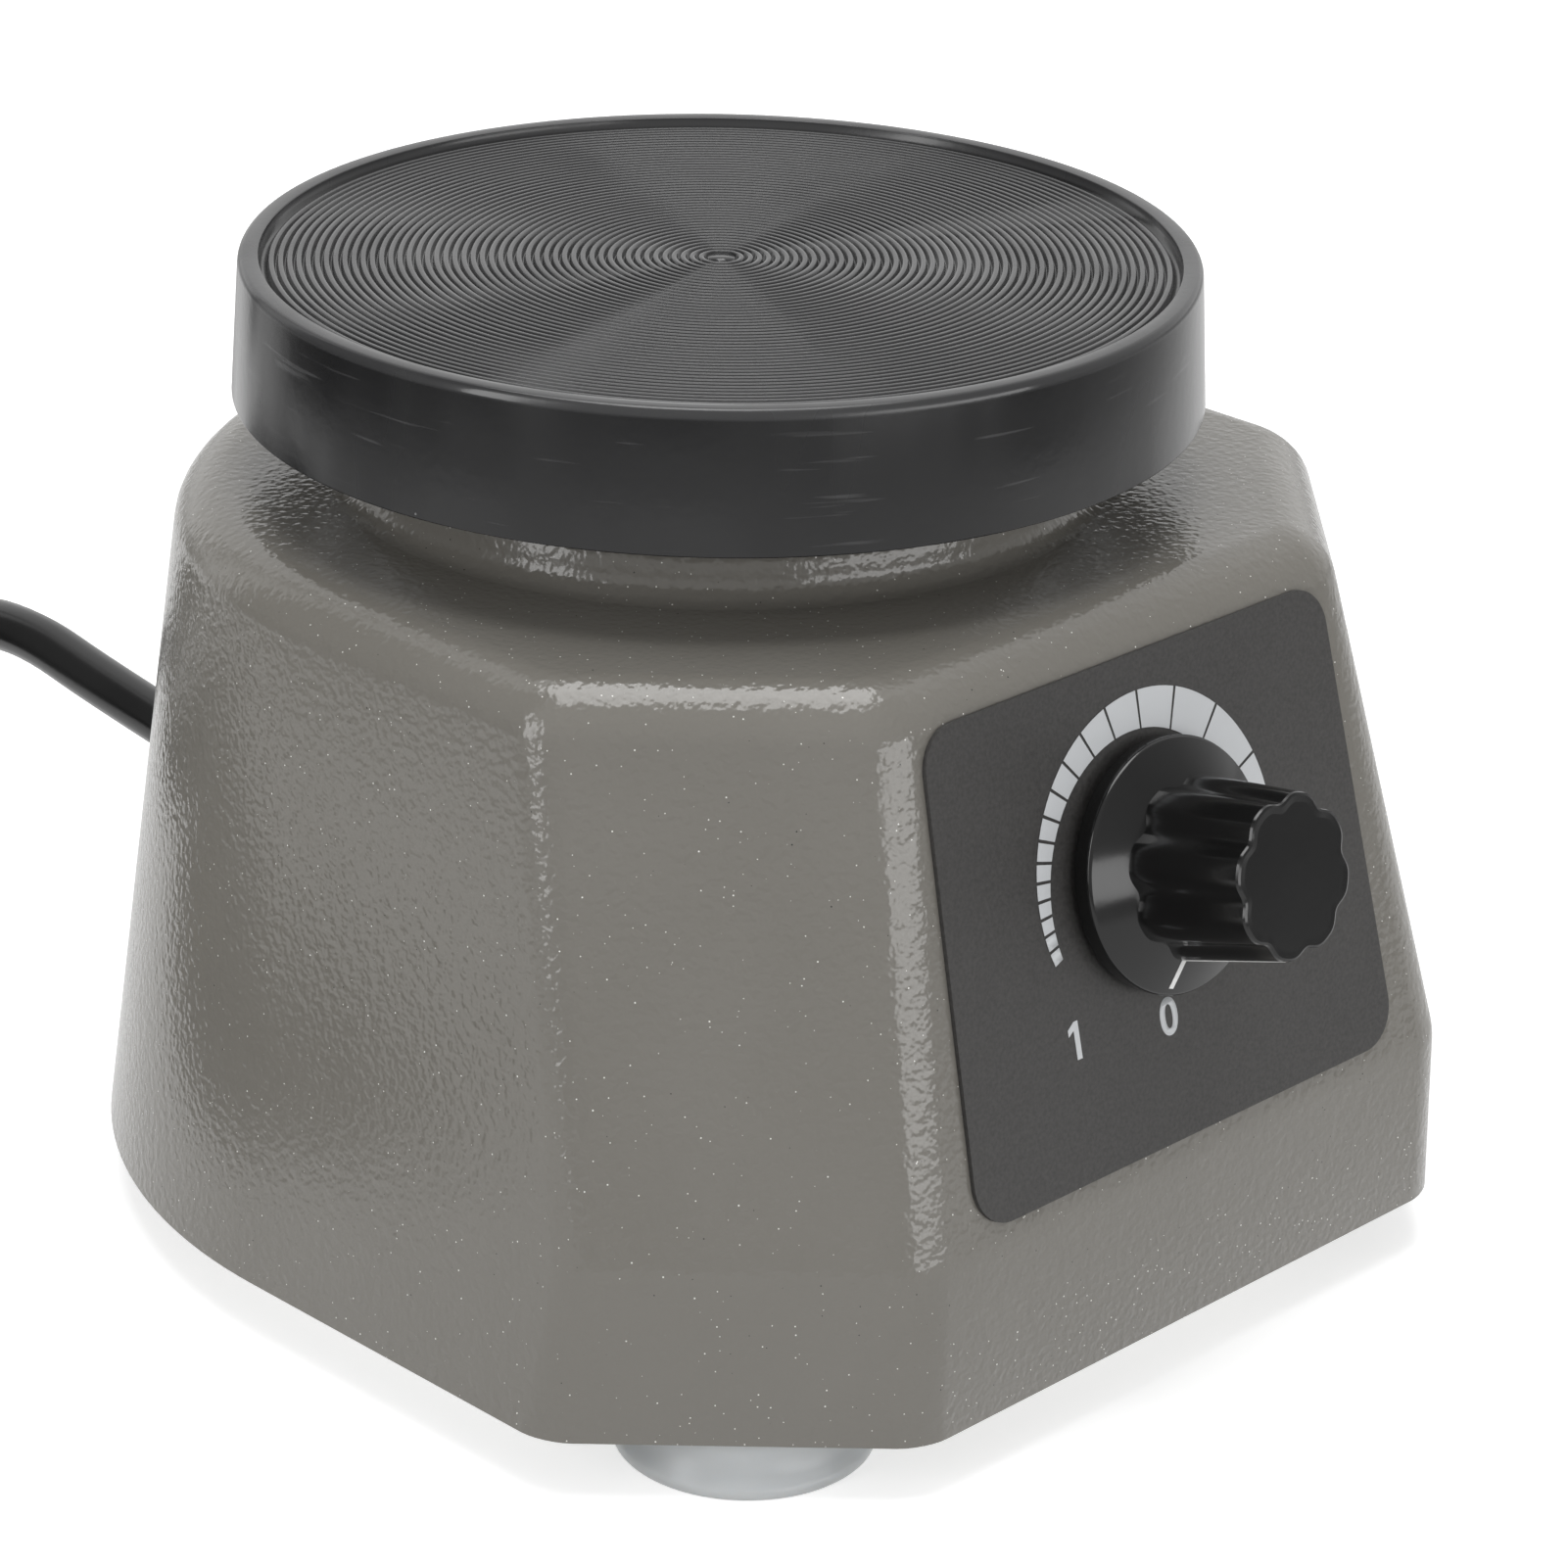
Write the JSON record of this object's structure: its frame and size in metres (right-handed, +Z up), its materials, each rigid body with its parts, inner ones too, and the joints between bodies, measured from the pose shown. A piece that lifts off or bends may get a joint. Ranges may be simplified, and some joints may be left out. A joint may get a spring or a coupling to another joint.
{
  "type": "laboratory table vibrator",
  "caption": "Compact bench vibrator with a ringed rubber table over a tapered cast housing, a skirted speed knob on a sloped front panel, soft feet and a mains lead.",
  "frame": {"origin": "middle of the footprint on the bench, cord left out", "axes": "+Z up, -Y towards the control panel, +X to the right seen from the front"},
  "size_m": [0.167, 0.325, 0.1027],
  "materials": {
    "housing_paint": "gloss grey paint with a light orange peel over a casting",
    "zinc_steel": "zinc plated sheet and screws",
    "clear_rubber": "translucent soft vinyl",
    "label_print": "fine-grained charcoal printed plate",
    "black_knob": "gloss black moulding",
    "black_plastic": "matt black moulding",
    "rubber_black": "satin black-grey rubber",
    "aluminium": "turned aluminium",
    "spring_steel": "blued spring steel",
    "lamination": "varnished electrical steel",
    "enamel_copper": "enamelled copper wire",
    "nylon": "natural nylon",
    "circuit_board": "green solder mask",
    "foam": "dark foam",
    "cord_black": "satin black PVC",
    "pin_brass": "bright brass"
  },
  "bodies": {
    "base_unit": {"housing": "housing_paint", "base_plate": "zinc_steel", "foot_front_left": "clear_rubber", "foot_front_right": "clear_rubber", "foot_rear_left": "clear_rubber", "foot_rear_right": "clear_rubber", "foot_screws": "zinc_steel", "panel_label": "label_print", "potentiometer": "zinc_steel", "potentiometer_washer": "zinc_steel", "potentiometer_nut": "zinc_steel", "dust_seal": "foam", "leaf_spring_front": "spring_steel", "leaf_spring_rear": "spring_steel", "spring_clamp_left": "zinc_steel", "spring_clamp_right": "zinc_steel", "spring_screws": "zinc_steel", "magnet_core": "lamination", "coil_bobbin": "nylon", "coil_winding": "enamel_copper", "magnet_bracket": "zinc_steel", "magnet_screws": "zinc_steel", "control_board": "circuit_board", "board_pillars": "nylon", "board_screws": "zinc_steel", "capacitor": "nylon", "heat_sink": "aluminium", "triac": "black_plastic", "terminal_block": "nylon", "strain_relief": "cord_black", "mains_lead": "cord_black", "mains_lead_tail": "cord_black", "mains_lead_coil": "cord_black", "coil_tie": "black_plastic", "plug_body": "cord_black", "plug_pins": "pin_brass"},
    "table": {"rubber_mat": "rubber_black", "table_plate": "aluminium", "table_stem": "aluminium", "table_screw": "zinc_steel", "armature": "lamination", "armature_spacer": "zinc_steel", "armature_bolt": "zinc_steel"},
    "knob": {"knob": "black_knob", "potentiometer_shaft": "zinc_steel"}
  },
  "joints": [
    {"name": "table_vibration", "type": "slide", "parent": "base_unit", "child": "table", "axis": [0, 0, 1], "range_m": [-0.0005, 0.0005], "stiffness_N_per_m": 25000, "springref_m": 0.0002, "deforming": ["leaf_spring_front", "leaf_spring_rear"]},
    {"name": "knob_turn", "type": "hinge", "parent": "base_unit", "child": "knob", "pos_m": [0, -0.05387, 0.05398], "axis": [0, -0.9699, 0.2434], "range_deg": [-300, 0]}
  ]
}
